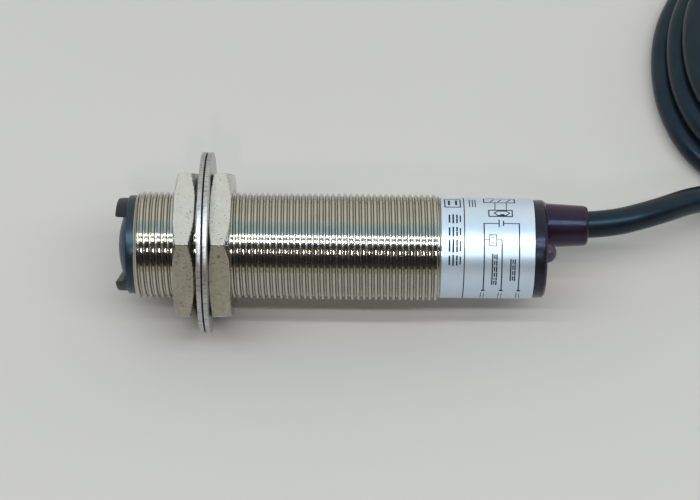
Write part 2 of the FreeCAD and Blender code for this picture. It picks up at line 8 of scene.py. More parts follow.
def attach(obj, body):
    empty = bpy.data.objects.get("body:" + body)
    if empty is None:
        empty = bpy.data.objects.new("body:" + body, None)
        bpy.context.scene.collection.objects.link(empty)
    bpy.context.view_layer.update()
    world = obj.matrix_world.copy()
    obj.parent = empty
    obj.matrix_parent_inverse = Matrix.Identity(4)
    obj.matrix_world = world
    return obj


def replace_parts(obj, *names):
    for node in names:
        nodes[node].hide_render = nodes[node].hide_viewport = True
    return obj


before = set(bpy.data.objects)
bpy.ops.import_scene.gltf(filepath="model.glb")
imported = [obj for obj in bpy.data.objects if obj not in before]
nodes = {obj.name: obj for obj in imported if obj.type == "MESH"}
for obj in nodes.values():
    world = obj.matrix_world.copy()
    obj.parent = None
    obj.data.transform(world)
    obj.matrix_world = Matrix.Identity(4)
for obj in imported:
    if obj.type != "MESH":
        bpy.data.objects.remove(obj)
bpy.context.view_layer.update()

MM = 0.001
scene = bpy.context.scene
AXIS_Z = 14.4  # mm, the barrel's axis

# ------------------------------------------------------------------ camera
# looks down at 60 degrees from the -Y side, a little from the cable end
EL, AZ, ROLL = math.radians(60.0), math.radians(0.4), math.radians(0.3)
back = Vector((math.sin(AZ) * math.cos(EL), -math.cos(AZ) * math.cos(EL), math.sin(EL)))
cam_data = bpy.data.cameras.new("camera")
cam_data.sensor_width = 36.0
cam_data.lens = 112.3
cam_data.clip_start, cam_data.clip_end = 0.01, 20
cam = bpy.data.objects.new("camera", cam_data)
scene.collection.objects.link(cam)
aim = Vector((-0.45, -0.485, 14.12)) * MM
turn = (-back).to_track_quat("-Z", "Y").to_matrix() @ Matrix.Rotation(ROLL, 3, "Z")
cam.matrix_world = Matrix.Translation(aim + back * 0.371) @ turn.to_4x4()
scene.camera = cam
scene.view_settings.view_transform = "Standard"


# ------------------------------------------------------------------ shader helpers
class Shader:
    """One principled material with its colour, roughness and bump driven by procedural nodes."""

    def __init__(self, name):
        self.m = bpy.data.materials.new(name)
        self.m.use_nodes = True
        self.t = self.m.node_tree
        self.b = self.t.nodes["Principled BSDF"]
        self.coord = self.t.nodes.new("ShaderNodeTexCoord")
        self.bump = None

    def set(self, **kw):
        for k, v in kw.items():
            self.b.inputs[k.replace("_", " ")].default_value = v
        return self

    def link(self, a, b):
        self.t.links.new(a, b)

    def stretch(self, scale):
        m = self.t.nodes.new("ShaderNodeMapping")
        m.inputs["Scale"].default_value = scale
        self.link(self.coord.outputs["Object"], m.inputs["Vector"])
        return m.outputs["Vector"]

    def noise(self, scale, detail=4.0, rough=0.55, stretch=(1, 1, 1), distortion=0.0):
        n = self.t.nodes.new("ShaderNodeTexNoise")
        n.inputs["Scale"].default_value = scale
        n.inputs["Detail"].default_value = detail
        n.inputs["Roughness"].default_value = rough
        n.inputs["Distortion"].default_value = distortion
        self.link(self.stretch(stretch), n.inputs["Vector"])
        return n.outputs["Fac"]

    def cells(self, scale, feature="F1", stretch=(1, 1, 1)):
        n = self.t.nodes.new("ShaderNodeTexVoronoi")
        n.feature = feature
        n.inputs["Scale"].default_value = scale
        self.link(self.stretch(stretch), n.inputs["Vector"])
        return n.outputs["Distance"]

    def remap(self, value, a, b, c, d):
        n = self.t.nodes.new("ShaderNodeMapRange")
        for i, v in zip(("From Min", "From Max", "To Min", "To Max"), (a, b, c, d)):
            n.inputs[i].default_value = v
        self.link(value, n.inputs["Value"])
        return n.outputs["Result"]

    def math(self, op, a, b=None):
        n = self.t.nodes.new("ShaderNodeMath")
        n.operation = op
        for socket, v in zip(n.inputs, (a, b)):
            if v is None:
                continue
            if isinstance(v, (int, float)):
                socket.default_value = v
            else:
                self.link(v, socket)
        return n.outputs["Value"]

    def blend(self, fac, one, two):
        n = self.t.nodes.new("ShaderNodeMix")
        n.data_type = "RGBA"
        if isinstance(fac, (int, float)):
            n.inputs["Factor"].default_value = fac
        else:
            self.link(fac, n.inputs["Factor"])
        for i, c in (("A", one), ("B", two)):
            socket = [s for s in n.inputs if s.name == i and s.type == "RGBA"][0]
            if isinstance(c, tuple):
                socket.default_value = (*c, 1.0)
            else:
                self.link(c, socket)
        return [s for s in n.outputs if s.type == "RGBA"][0]

    def colour(self, out):
        self.link(out, self.b.inputs["Base Color"])
        return self

    def rough(self, out):
        self.link(out, self.b.inputs["Roughness"])
        return self

    def raise_(self, height, distance, strength=1.0):
        n = self.t.nodes.new("ShaderNodeBump")
        n.inputs["Distance"].default_value = distance
        n.inputs["Strength"].default_value = strength
        self.link(height, n.inputs["Height"])
        if self.bump is not None:
            self.link(self.bump, n.inputs["Normal"])
        self.bump = n.outputs["Normal"]
        self.link(self.bump, self.b.inputs["Normal"])
        return self


def shaded(name, one, two, scale, rough, bump_scale, bump, metallic=0.0, **kw):
    """Two close tones mixed by noise, roughness that wanders between two values, and a fine grain."""
    s = Shader(name)
    s.set(Metallic=metallic, **kw)
    s.colour(s.blend(s.remap(s.noise(scale), 0.35, 0.65, 0, 1), one, two))
    s.rough(s.remap(s.noise(scale * 1.7, 5), 0.3, 0.7, *rough))
    s.raise_(s.noise(bump_scale, 5), bump)
    return s


# bright nickel plate on the thread: mirror-like, with fine turning marks round it and dull patches
s = Shader("nickel_thread").set(Metallic=1.0)
plate = s.blend(
    s.remap(s.noise(420, 6), 0.3, 0.75, 0, 1), (0.53, 0.525, 0.465), (0.455, 0.445, 0.39)
)
# painted shade: a band low on the thread flanks, near the roots, is painted darker
split = s.t.nodes.new("ShaderNodeSeparateXYZ")
s.link(s.coord.outputs["Object"], split.inputs[0])
up = s.math("SUBTRACT", split.outputs["Z"], 0.0144)
radius = s.math(
    "SQRT", s.math("ADD", s.math("MULTIPLY", split.outputs["Y"], split.outputs["Y"]), s.math("MULTIPLY", up, up))
)
foot = s.math("MULTIPLY", s.remap(radius, 0.00858, 0.00863, 0, 1), s.remap(radius, 0.00872, 0.0089, 1, 0))
root = s.math("SUBTRACT", 1.0, foot)
in_thread = s.remap(split.outputs["X"], 0.0146, 0.0148, 0, 1)
unshaded_mask = s.math("MAXIMUM", root, in_thread)
# painted shade: the darker tone goes where unshaded_mask is 0, on the flank feet
s.colour(s.blend(unshaded_mask, (0.3, 0.275, 0.225), plate))
# the roots are left duller by the rolling than the crests
dull = s.math("MULTIPLY", s.remap(radius, 0.00862, 0.0088, 0.1, 0), s.remap(split.outputs["X"], 0.0146, 0.0148, 1, 0))
s.rough(s.math("ADD", s.remap(s.noise(900, 5), 0.3, 0.75, 0.05, 0.12), dull))
s.raise_(s.noise(9000, 3, stretch=(1, 0.12, 0.12)), 0.0000005)
s.raise_(s.noise(1500, 4), 0.0000006)
NICKEL = s.m

# nuts: pressed blanks under the same plating, so the flats are satin with small pits and dents
s = Shader("nickel_nut").set(Metallic=1.0)
pits = s.remap(s.noise(2600, 3, 0.6), 0.30, 0.36, 0, 1)
stain = s.remap(s.noise(600, 5, 0.6), 0.3, 0.75, 0, 1)
tone = s.blend(stain, (0.69, 0.68, 0.645), (0.62, 0.61, 0.565))
# painted shade: the flats on the half of the nut that faces down and towards the front are painted darker, and their
# pits are also gated by a second noise
split = s.t.nodes.new("ShaderNodeSeparateXYZ")
s.link(s.coord.outputs["Object"], split.inputs[0])
across = s.math(
    "ADD", s.math("MULTIPLY", split.outputs["Y"], 0.866), s.math("MULTIPLY", s.math("SUBTRACT", split.outputs["Z"], 0.0144), 0.5)
)
# painted shade: unshaded_side is 0 on the lower, front half, which gets the darker tones
unshaded_side = s.remap(across, -0.00012, 0.00012, 0, 1)
tone = s.blend(unshaded_side, s.blend(stain, (0.5, 0.48, 0.415), (0.4, 0.38, 0.32)), tone)
extra = s.remap(s.noise(1700, 4, 0.7), 0.33, 0.39, 0, 1)
pits = s.math("MULTIPLY", pits, s.math("MAXIMUM", extra, unshaded_side))
s.colour(s.blend(pits, (0.14, 0.128, 0.105), tone))
s.rough(s.remap(s.noise(1200, 5), 0.3, 0.7, 0.2, 0.3))
s.raise_(s.noise(5200, 4), 0.0000025)
s.raise_(s.noise(900, 3, 0.6, distortion=0.6), 0.000012, 0.5)
s.raise_(pits, 0.00002, 0.6)
NUT = s.m

# washers: punched strip, faces rolled, rims with close marks across the edge
s = Shader("nickel_washer").set(Metallic=1.0)
s.rough(s.remap(s.noise(1500, 4), 0.3, 0.7, 0.32, 0.44))
split = s.t.nodes.new("ShaderNodeSeparateXYZ")
s.link(s.coord.outputs["Object"], split.inputs[0])
up = s.math("SUBTRACT", split.outputs["Z"], 0.0153)
radius = s.math(
    "SQRT", s.math("ADD", s.math("MULTIPLY", split.outputs["Y"], split.outputs["Y"]), s.math("MULTIPLY", up, up))
)
rim = s.remap(radius, 0.01505, 0.01522, 0, 1)
marks = s.noise(4600, 3, 0.6, stretch=(0.15, 1, 1))
streak = s.math("MULTIPLY", s.remap(marks, 0.5, 0.66, 0, 1), rim)
face = s.blend(s.remap(s.noise(800, 5), 0.35, 0.65, 0, 1), (0.58, 0.58, 0.57), (0.46, 0.46, 0.45))
s.colour(s.blend(streak, face, (0.27, 0.275, 0.28)))
s.raise_(s.math("MULTIPLY", marks, rim), 0.00004, 0.9)
s.raise_(s.noise(1400, 3), 0.000004, 0.6)
WASHER = s.m

BLACK_CAP = shaded(
    "black_cap_plastic",
    (0.004, 0.008, 0.015),
    (0.007, 0.012, 0.021),
    500,
    (0.28, 0.38),
    4500,
    0.000004,
)
BLACK_CAP.set(Specular_IOR_Level=0.68, Specular_Tint=(0.5, 0.8, 1.0, 1.0))

LUGS = shaded("black_cap_lugs", (0.005, 0.006, 0.008), (0.009, 0.01, 0.012), 500, (0.34, 0.46), 4500, 0.000004)
LUGS.set(Specular_IOR_Level=0.36, Specular_Tint=(0.8, 0.9, 1.0, 1.0))

s = Shader("lens_tint").set(IOR=1.16, Specular_Tint=(0.18, 0.6, 1.0, 1.0))
s.colour(s.blend(s.remap(s.noise(400, 3), 0.35, 0.65, 0, 1), (0.007, 0.026, 0.058), (0.010, 0.032, 0.069)))
s.rough(s.remap(s.noise(600, 3), 0.3, 0.7, 0.26, 0.34))
s.raise_(s.noise(1800, 2), 0.000002)
LENS = s.m

# rear cap: smoked, slightly see-through moulding; painted light: surfaces seen at a slant are painted a lighter
# purple-brown, standing in for light coming through it
s = Shader("smoke_moulding").set(
    IOR=1.5, Coat_Weight=0.06, Coat_Roughness=0.15, Specular_IOR_Level=0.4, Specular_Tint=(0.42, 0.56, 1.0, 1.0)
)
# painted light: the colour turns lighter purple-brown where the surface is seen at a slant
edge = s.t.nodes.new("ShaderNodeLayerWeight")
edge.inputs["Blend"].default_value = 0.42
deep = s.blend(s.remap(s.noise(300, 4), 0.35, 0.65, 0, 1), (0.010, 0.006, 0.010), (0.017, 0.009, 0.014))
deep = s.blend(edge.outputs["Facing"], deep, (0.052, 0.019, 0.032))
# painted light: the thin dome over the indicator is painted lighter, standing in for the light that comes through it
lit = s.t.nodes.new("ShaderNodeVectorMath")
lit.operation = "DISTANCE"
s.link(s.coord.outputs["Object"], lit.inputs[0])
lit.inputs[1].default_value = (0.0325, -0.00311, 0.01838)
# and the disc over the full end is thicker and darker than the boot
place = s.t.nodes.new("ShaderNodeSeparateXYZ")
s.link(s.coord.outputs["Object"], place.inputs[0])
thick = s.blend(s.remap(s.noise(500, 4), 0.35, 0.65, 0, 1), (0.010, 0.0085, 0.0105), (0.016, 0.0125, 0.0155))
deep = s.blend(s.remap(place.outputs["X"], 0.0323, 0.0327, 0, 1), thick, deep)
s.colour(s.blend(s.remap(lit.outputs["Value"], 0.0015, 0.0021, 0, 1), (0.085, 0.055, 0.08), deep))
s.rough(s.remap(s.noise(900, 4), 0.3, 0.7, 0.2, 0.27))
s.raise_(s.noise(2200, 3), 0.0000006)
SMOKE = s.m

s = Shader("cable_jacket").set(Specular_IOR_Level=0.42)
s.colour(
    s.blend(s.remap(s.noise(260, 5), 0.35, 0.65, 0, 1), (0.005, 0.006, 0.008), (0.009, 0.0105, 0.013))
)
s.set(Specular_Tint=(0.38, 0.7, 1.0, 1.0))
s.rough(s.remap(s.noise(700, 4), 0.3, 0.7, 0.27, 0.36))
s.raise_(s.noise(5000, 4), 0.000005)
s.raise_(s.noise(160, 3), 0.00005, 0.4)
JACKET = s.m

# foil label: pale blue-silver, satin, with a brushed grain round the barrel
s = Shader("label_foil").set(Metallic=0.66)
s.colour(
    s.blend(
        s.remap(s.noise(350, 4), 0.35, 0.65, 0, 1), (0.56, 0.675, 0.80), (0.61, 0.705, 0.81)
    )
)
s.rough(s.remap(s.noise(1800, 4, stretch=(1, 0.2, 0.2)), 0.3, 0.7, 0.33, 0.38))
s.raise_(s.noise(9000, 3, stretch=(1, 0.2, 0.2)), 0.0000005)
FOIL = s.m

INK = shaded("label_ink", (0.008, 0.01, 0.022), (0.016, 0.018, 0.034), 2500, (0.55, 0.65), 7000, 0.000002, Specular_IOR_Level=0.15).m
BLACK_CAP, LUGS = BLACK_CAP.m, LUGS.m


def fill(node, material):
    """Gives a carried-over node its finish."""
    o = nodes[node]
    if not o.material_slots:
        o.data.materials.append(material)
    for sl in o.material_slots:
        sl.material = material


RUBBER = shaded("seal_rubber", (0.02, 0.02, 0.02), (0.035, 0.035, 0.034), 900, (0.6, 0.75), 5000, 0.00001).m
for n in ("front_seal", "rear_seal"):
    fill(n, RUBBER)
INNER = shaded("black_moulding", (0.03, 0.03, 0.031), (0.045, 0.045, 0.046), 700, (0.45, 0.6), 4000, 0.00001).m
for n in ("optics_holder", "control_chip", "output_transistor"):
    fill(n, INNER)
CLEAR = shaded(
    "led_epoxy", (0.5, 0.48, 0.56), (0.58, 0.56, 0.63), 500, (0.08, 0.15), 1500, 0.000003,
    Transmission_Weight=0.6, IOR=1.52,
).m
for n in ("emitter_led", "receiver_diode"):
    fill(n, CLEAR)
fill("inner_sleeve", shaded("liner_sheet", (0.7, 0.7, 0.65), (0.78, 0.78, 0.72), 500, (0.45, 0.6), 3000, 0.00001).m)

s = Shader("board_mask")
mask = s.cells(900, stretch=(1, 1, 1))
s.colour(s.blend(s.remap(mask, 0.1, 0.28, 0, 1), (0.45, 0.4, 0.2), (0.02, 0.17, 0.07)))
s.rough(s.remap(s.noise(900, 4), 0.3, 0.7, 0.3, 0.45))
s.raise_(s.noise(2500, 3), 0.00001)
fill("circuit_board", s.m)
fill("buffer_capacitor", shaded("capacitor_can", (0.55, 0.56, 0.6), (0.48, 0.49, 0.53), 900, (0.28, 0.4), 4000, 0.000006, 1.0).m)
fill("indicator_led", shaded("led_amber_epoxy", (0.75, 0.36, 0.05), (0.8, 0.42, 0.08), 600, (0.12, 0.2), 2000, 0.000004).m)
fill("trimmer_body", shaded("trimmer_plastic", (0.06, 0.14, 0.42), (0.08, 0.17, 0.47), 800, (0.35, 0.5), 3500, 0.000008).m)
fill("trimmer_screw", shaded("turned_brass", (0.68, 0.5, 0.22), (0.58, 0.41, 0.17), 1500, (0.2, 0.34), 7000, 0.000008, 1.0).m)
fill("label_wrap", FOIL)


# the bare cores: insulation, and tinned wire from the point where they are stripped
def core(label, one, two):
    o = nodes[label]
    # the tinned tip is the last 4 mm of the node, furthest from the jacket
    pts = [v.co.copy() for v in o.data.vertices]
    start = Vector((74.9, 54.1, 2.5)) * MM
    far = max(pts, key=lambda p: (p - start).length)
    ring = [p for p in pts if (p - far).length < 0.0012]
    tip = sum(ring, Vector()) / len(ring)
    shoulder = [p for p in pts if 0.0030 < (p - tip).length < 0.0052]
    heel = sum(shoulder, Vector()) / max(1, len(shoulder))
    along = (tip - heel).normalized()
    s = Shader("core_" + label)
    sub = s.t.nodes.new("ShaderNodeVectorMath")
    sub.operation = "DOT_PRODUCT"
    s.link(s.coord.outputs["Object"], sub.inputs[0])
    sub.inputs[1].default_value = along
    cut = along.dot(tip) - 0.0041
    far_mask = s.math("GREATER_THAN", sub.outputs["Value"], cut)
    # only near the tip: the core bends, and an earlier stretch may lie as far along
    dist = s.t.nodes.new("ShaderNodeVectorMath")
    dist.operation = "DISTANCE"
    s.link(s.coord.outputs["Object"], dist.inputs[0])
    dist.inputs[1].default_value = tip
    near = s.math("LESS_THAN", dist.outputs["Value"], 0.0046)
    both = s.math("MULTIPLY", far_mask, near)
    plastic = s.blend(s.remap(s.noise(900, 4), 0.35, 0.65, 0, 1), one, two)
    strands = s.blend(
        s.remap(s.noise(3500, 3, stretch=(1, 0.3, 1)), 0.4, 0.6, 0, 1),
        (0.72, 0.7, 0.66),
        (0.42, 0.4, 0.37),
    )
    s.colour(s.blend(both, plastic, strands))
    s.link(both, s.b.inputs["Metallic"])
    s.rough(s.remap(s.noise(1800, 4), 0.3, 0.7, 0.3, 0.45))
    s.raise_(s.noise(4000, 4), 0.00001)
    fill(label, s.m)


core("wire_brown", (0.2, 0.085, 0.035), (0.25, 0.11, 0.05))
core("wire_blue", (0.03, 0.1, 0.42), (0.045, 0.13, 0.5))
core("wire_black", (0.015, 0.015, 0.017), (0.028, 0.028, 0.03))
fill("inner_lead_brown", shaded("inner_brown", (0.2, 0.085, 0.035), (0.25, 0.11, 0.05), 900, (0.35, 0.5), 4000, 0.00001).m)
fill("inner_lead_blue", shaded("inner_blue", (0.03, 0.1, 0.42), (0.045, 0.13, 0.5), 900, (0.35, 0.5), 4000, 0.00001).m)
fill("inner_lead_black", shaded("inner_black", (0.015, 0.015, 0.017), (0.028, 0.028, 0.03), 900, (0.35, 0.5), 4000, 0.00001).m)


# ------------------------------------------------------------------ mesh helpers
def piece(name, bm, body, material, smooth=35):
    bmesh.ops.remove_doubles(bm, verts=bm.verts, dist=1e-8)
    bmesh.ops.recalc_face_normals(bm, faces=bm.faces)
    me = bpy.data.meshes.new(name)
    bm.to_mesh(me)
    bm.free()
    for p in me.polygons:
        p.use_smooth = True
    me.materials.append(material)
    o = bpy.data.objects.new(name, me)
    scene.collection.objects.link(o)
    me.set_sharp_from_angle(angle=math.radians(smooth))
    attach(o, body)
    return o


def loop_faces(bm, a, b, shift=0):
    n = len(a)
    for i in range(n):
        j = (i + 1) % n
        quad = [a[i], a[j], b[(j + shift) % n], b[(i + shift) % n]]
        seen = []
        for v in quad:
            if v not in seen:
                seen.append(v)
        if len(seen) > 2:
            bm.faces.new(seen)


def ring_verts(bm, x, radius, angles, cy=0.0, cz=AXIS_Z):
    """radius is a number or a function of the angle."""
    out = []
    for a in angles:
        r = radius(a) if callable(radius) else radius
        out.append(
            bm.verts.new((x * MM, (cy + r * math.cos(a)) * MM, (cz + r * math.sin(a)) * MM))
        )
    return out


def lathe(bm, profile, n, cy=0.0, cz=AXIS_Z, closed=True):
    """profile is (x, radius) pairs going round the section; a closed ring of sections, or open, its ends closed only
    where the profile reaches the axis.
    """
    angles = [2 * math.pi * i / n for i in range(n)]
    rings = []
    for x, r in profile:
        if r < 1e-6:
            v = bm.verts.new((x * MM, cy * MM, cz * MM))
            rings.append([v] * n)
        else:
            rings.append(ring_verts(bm, x, r, angles, cy, cz))
    for a, b in zip(rings, rings[1:]):
        loop_faces(bm, a, b)
    if closed:
        loop_faces(bm, rings[-1], rings[0])
    return rings


def rounded(points, radius, steps=3):
    """A section with its corners rounded: points are (x, r) in order, radius one number or one per point."""
    out = []
    n = len(points)
    for i, p in enumerate(points):
        rad = radius[i] if isinstance(radius, (list, tuple)) else radius
        a, b = Vector(points[i - 1]), Vector(points[(i + 1) % n])
        p = Vector(p)
        if rad <= 0:
            out.append(tuple(p))
            continue
        u, w = (a - p), (b - p)
        rad = min(rad, u.length * 0.45, w.length * 0.45)
        u, w = p + u.normalized() * rad, p + w.normalized() * rad
        for k in range(steps + 1):
            t = k / steps
            q = u * (1 - t) ** 2 + p * 2 * t * (1 - t) + w * t * t
            out.append(tuple(q))
    return out


# ------------------------------------------------------------------ barrel with its real helical thread
def make_barrel():
    front, thread_end, rear = -36.5, 14.76, 30.4
    # rolled thread: narrow crowned crests, flanks at 60 degrees to each other, dished roots
    section = [(k, 9.0 - k * k / 2.8) for k in (-0.17, -0.12, -0.06, 0.0, 0.06, 0.12, 0.17)]
    section += [
        (0.2, 8.955), (0.36, 8.64), (0.385, 8.6), (0.42, 8.572), (0.46, 8.558), (0.5, 8.553),
        (0.54, 8.558), (0.58, 8.572), (0.615, 8.6), (0.64, 8.64), (0.8, 8.955),
    ]
    n, turns = 144, 54
    bm = bmesh.new()
    chain = []
    for t in range(turns):
        for dx, r in section:
            chain.append((front - 2.0 + t + dx, r))
    per = len(section)
    grid = []
    for i in range(n):
        a = 2 * math.pi * i / n
        row = []
        for x, r in chain:
            xx = x + i / n
            # chamfered start, and the thread runs out into the smooth end
            r = min(r, 8.45 + max(0.0, xx - front) * 1.0)
            if xx > 14.3:
                r = min(r, max(8.4, 9.0 - (xx - 14.3) * 1.4))
            # plating and handling leave the crests very slightly uneven
            r -= 0.006 * (0.5 + 0.5 * math.sin(3.1 * xx + 2.3 * math.sin(2 * a)))
            row.append(bm.verts.new((xx * MM, r * math.cos(a) * MM, (AXIS_Z + r * math.sin(a)) * MM)))
        grid.append(row)
    m = len(chain)
    for i in range(n):
        for j in range(m - 1):
            if i < n - 1:
                bm.faces.new((grid[i][j], grid[i][j + 1], grid[i + 1][j + 1], grid[i + 1][j]))
            elif j + per + 1 < m:
                bm.faces.new((grid[i][j], grid[i][j + 1], grid[0][j + 1 + per], grid[0][j + per]))
    for x, sign in ((front, -1), (thread_end, 1)):
        bmesh.ops.bisect_plane(
            bm,
            geom=bm.verts[:] + bm.edges[:] + bm.faces[:],
            dist=1e-9,
            plane_co=(x * MM, 0, 0),
            plane_no=(sign, 0, 0),
            clear_outer=True,
        )
    edges = [e for e in bm.edges if e.is_boundary]
    front_edges = [e for e in edges if abs(e.verts[0].co.x - front * MM) < 1e-6 and abs(e.verts[1].co.x - front * MM) < 1e-6]
    back_edges = [e for e in edges if abs(e.verts[0].co.x - thread_end * MM) < 1e-6 and abs(e.verts[1].co.x - thread_end * MM) < 1e-6]
    angles = [2 * math.pi * i / n for i in range(n)]
    inner = [ring_verts(bm, x, r, angles) for x, r in
             ((front, 7.75), (front + 0.15, 7.6), (rear, 7.6), (rear, 8.32), (rear - 0.08, 8.4), (thread_end + 0.02, 8.4))]
    for a, b in zip(inner, inner[1:]):
        loop_faces(bm, a, b)

    def ring_edges(ring):
        return [bm.edges.get((ring[i], ring[(i + 1) % n])) for i in range(n)]

    bmesh.ops.bridge_loops(bm, edges=front_edges + ring_edges(inner[0]))
    bmesh.ops.bridge_loops(bm, edges=back_edges + ring_edges(inner[-1]))
    return piece("barrel_threaded", bm, "housing", NICKEL, 32)


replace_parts(make_barrel(), "barrel")


# ------------------------------------------------------------------ nuts
def make_nut(name, x0, node, body, cut_front, cut_back):
    thick, flat, corner = 3.5, 12.0, 13.8565
    # angles gather at the six corners, where the flats meet
    offsets = [0, 0.3, 0.6, 1.0, 1.6, 2.6, 4.5, 7, 10, 13.5, 17, 20.5, 24, 27]
    offsets = sorted(set([-o for o in offsets] + offsets + [30]))
    angles = [math.radians(60 * k + o) for k in range(6) for o in offsets]

    def smin(a, b, k):
        h = max(k - abs(a - b), 0.0) / k
        return min(a, b) - h * h * k * 0.25

    def hexagon(a, apothem):
        d = (math.degrees(a) % 60.0) - 30.0
        return smin(apothem / math.cos(math.radians(d)), corner - 0.03, 0.05)

    xs = [0, 0.05, 0.1, 0.16, 0.24, 0.34, 0.46, 0.6, 0.72, 0.745, 0.78, 0.9, 1.2, 1.75, 2.2, 2.4, 2.55, 2.7, 2.85, 3.0, 3.12, 3.22, 3.3, 3.36, 3.41, 3.46, 3.5]
    bm = bmesh.new()
    rings = []
    for d in xs:
        end = min(d, thick - d)
        cone = 12.15 + min(d * (corner - 12.15) / cut_front, (thick - d) * (corner - 12.15) / cut_back)
        lift = 0.055 if d < 0.73 else 0.0  # a shallow step along one edge of the flats
        soft = 0.1 * (1 - min(end / 0.1, 1.0)) ** 2  # broken outer edge

        def radius(a, cone=cone, lift=lift, soft=soft):
            return smin(hexagon(a, flat - lift), cone, 0.06) - soft

        rings.append(ring_verts(bm, x0 + d, radius, angles))
    first, last = rings[0], rings[-1]
    for a, b in zip(rings, rings[1:]):
        loop_faces(bm, a, b)
    # the two faces, the countersinks and the bore with its own thread crests
    face_r = [11.9, 11.0, 10.2, 9.62]
    inner = [ring_verts(bm, x0, r, angles) for r in face_r]
    inner += [ring_verts(bm, x0 + 0.45, 9.1, angles)]
    for k in range(6):
        x = x0 + 0.55 + k * 0.44
        inner += [ring_verts(bm, x, 9.055, angles), ring_verts(bm, x + 0.22, 9.16, angles)]
    inner += [ring_verts(bm, x0 + thick - 0.3, 9.1, angles)]
    inner += [ring_verts(bm, x0 + thick, r, angles) for r in reversed(face_r)]
    loop_faces(bm, first, inner[0])
    for a, b in zip(inner, inner[1:]):
        loop_faces(bm, a, b)
    loop_faces(bm, inner[-1], last)
    o = piece(name, bm, body, NUT, 24)
    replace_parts(o, node)
    return o


make_nut("front_nut_plated", -29.7, "front_nut", "front_nut", 0.68, 0.86)
make_nut("rear_nut_plated", -23.7, "rear_nut", "rear_nut", 0.5, 1.02)


# ------------------------------------------------------------------ washers
def make_washer(name, x0, node, body):
    profile = rounded(
        [(x0, 9.95), (x0, 15.3), (x0 + 0.75, 15.3), (x0 + 0.75, 9.95)],
        [0.08, 0.16, 0.06, 0.14],
        4,
    )
    mid = []
    for i, (x, r) in enumerate(profile):
        mid.append((x, r))
        nx, nr = profile[(i + 1) % len(profile)]
        if abs(nr - r) > 2:
            for t in (0.25, 0.5, 0.75):
                mid.append((x + (nx - x) * t, r + (nr - r) * t))
    bm = bmesh.new()
    lathe(bm, mid, 200, 0.0, 15.3)
    o = piece(name, bm, body, WASHER, 40)
    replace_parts(o, node)


make_washer("front_washer_plated", -25.5, "front_washer", "front_washer")
make_washer("rear_washer_plated", -24.5, "rear_washer", "rear_washer")

# ------------------------------------------------------------------ front cap and lens
CH = math.radians(38.8)
NV = Vector((0, math.cos(CH), math.sin(CH)))  # across the channel
CV = Vector((0, -math.sin(CH), math.cos(CH)))  # along it
MID = Vector((0, 0, AXIS_Z))


def at(x, n, c):
    return (Vector((x, 0, 0)) + MID + NV * n + CV * c) * MM


def make_front_cap():
    bm = bmesh.new()
    ring = rounded(
        [(-37.9, 7.05), (-37.9, 8.35), (-36.5, 8.35), (-36.5, 7.55), (-32.0, 7.55), (-32.0, 6.3), (-36.0, 6.3), (-36.0, 7.05)],
        [0.12, 0.3, 0.06, 0, 0.1, 0.1, 0, 0],
        4,
    )
    lathe(bm, ring, 144)
    # a lug on each side of the channel: a segment of the disc, its edges rounded in steps
    r, half = 7.9, 5.4
    reach = math.acos(half / r)
    for sign in (1, -1):
        def outline(shrink):
            rr, hh = r - shrink, half + shrink
            top = math.acos(hh / rr)
            pts = []
            for k in range(25):
                a = -top + 2 * top * k / 24
                pts.append((sign * rr * math.cos(a), rr * math.sin(a)))
            for k in range(1, 8):
                t = k / 8
                pts.append((sign * hh, rr * math.sin(top) * (1 - 2 * t)))
            return pts

        layers = [(-37.75, 0.0), (-38.6, 0.0), (-39.35, 0.03), (-39.55, 0.07), (-39.7, 0.16), (-39.78, 0.28), (-39.8, 0.45)]
        rings = []
        for x, shrink in layers:
            rings.append([bm.verts.new(at(x, a, b)) for a, b in outline(shrink)])
        for a, b in zip(rings, rings[1:]):
            loop_faces(bm, a, b)
        bm.faces.new(rings[-1])
        bm.faces.new(rings[0])
    o = piece("front_cap_moulded", bm, "housing", BLACK_CAP, 30)
    o.data.materials.append(LUGS)
    for p in o.data.polygons:
        if p.center.x < -37.92 * MM:
            p.material_index = 1
    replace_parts(o, "front_cap")


make_front_cap()


def make_lens():
    bm = bmesh.new()
    n, sphere, edge_r, half = 128, 14.875, 7.0, 5.33
    apex = -37.9 - 1.75
    rings = []
    fractions = [0.0, 0.12, 0.25, 0.38, 0.5, 0.62, 0.74, 0.84, 0.91, 0.96, 0.985, 1.0]
    for f in fractions:
        ring = []
        for i in range(n):
            a = 2 * math.pi * i / n
            limit = min(edge_r, half / max(1e-6, abs(math.cos(a))))
            rr = limit * f
            p, c = rr * math.cos(a), rr * math.sin(a)
            x = apex + sphere - math.sqrt(sphere**2 - rr**2)
            inset = (1 - f) * limit
            if inset < 0.3:
                x += 0.3 - math.sqrt(max(0.0, 0.09 - (0.3 - inset) ** 2))
            ring.append(bm.verts.new(at(min(x, -37.93), p, c)))
        rings.append(ring)
    side, deep = [], []
    for i in range(n):
        a = 2 * math.pi * i / n
        limit = min(edge_r, half / max(1e-6, abs(math.cos(a))))
        side.append(bm.verts.new(at(-37.92, limit * math.cos(a), limit * math.sin(a))))
        deep.append((a, limit))
    flange = [bm.verts.new(at(-37.9, 6.98 * math.cos(a), 6.98 * math.sin(a))) for a, _ in deep]
    base = [bm.verts.new(at(-36.1, 6.98 * math.cos(a), 6.98 * math.sin(a))) for a, _ in deep]
    for a, b in zip(rings, rings[1:]):
        loop_faces(bm, a, b)
    loop_faces(bm, rings[-1], side)
    loop_faces(bm, side, flange)
    loop_faces(bm, flange, base)
    bm.faces.new(base)
    o = piece("front_lens_moulded", bm, "housing", LENS, 40)
    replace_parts(o, "front_lens")


make_lens()


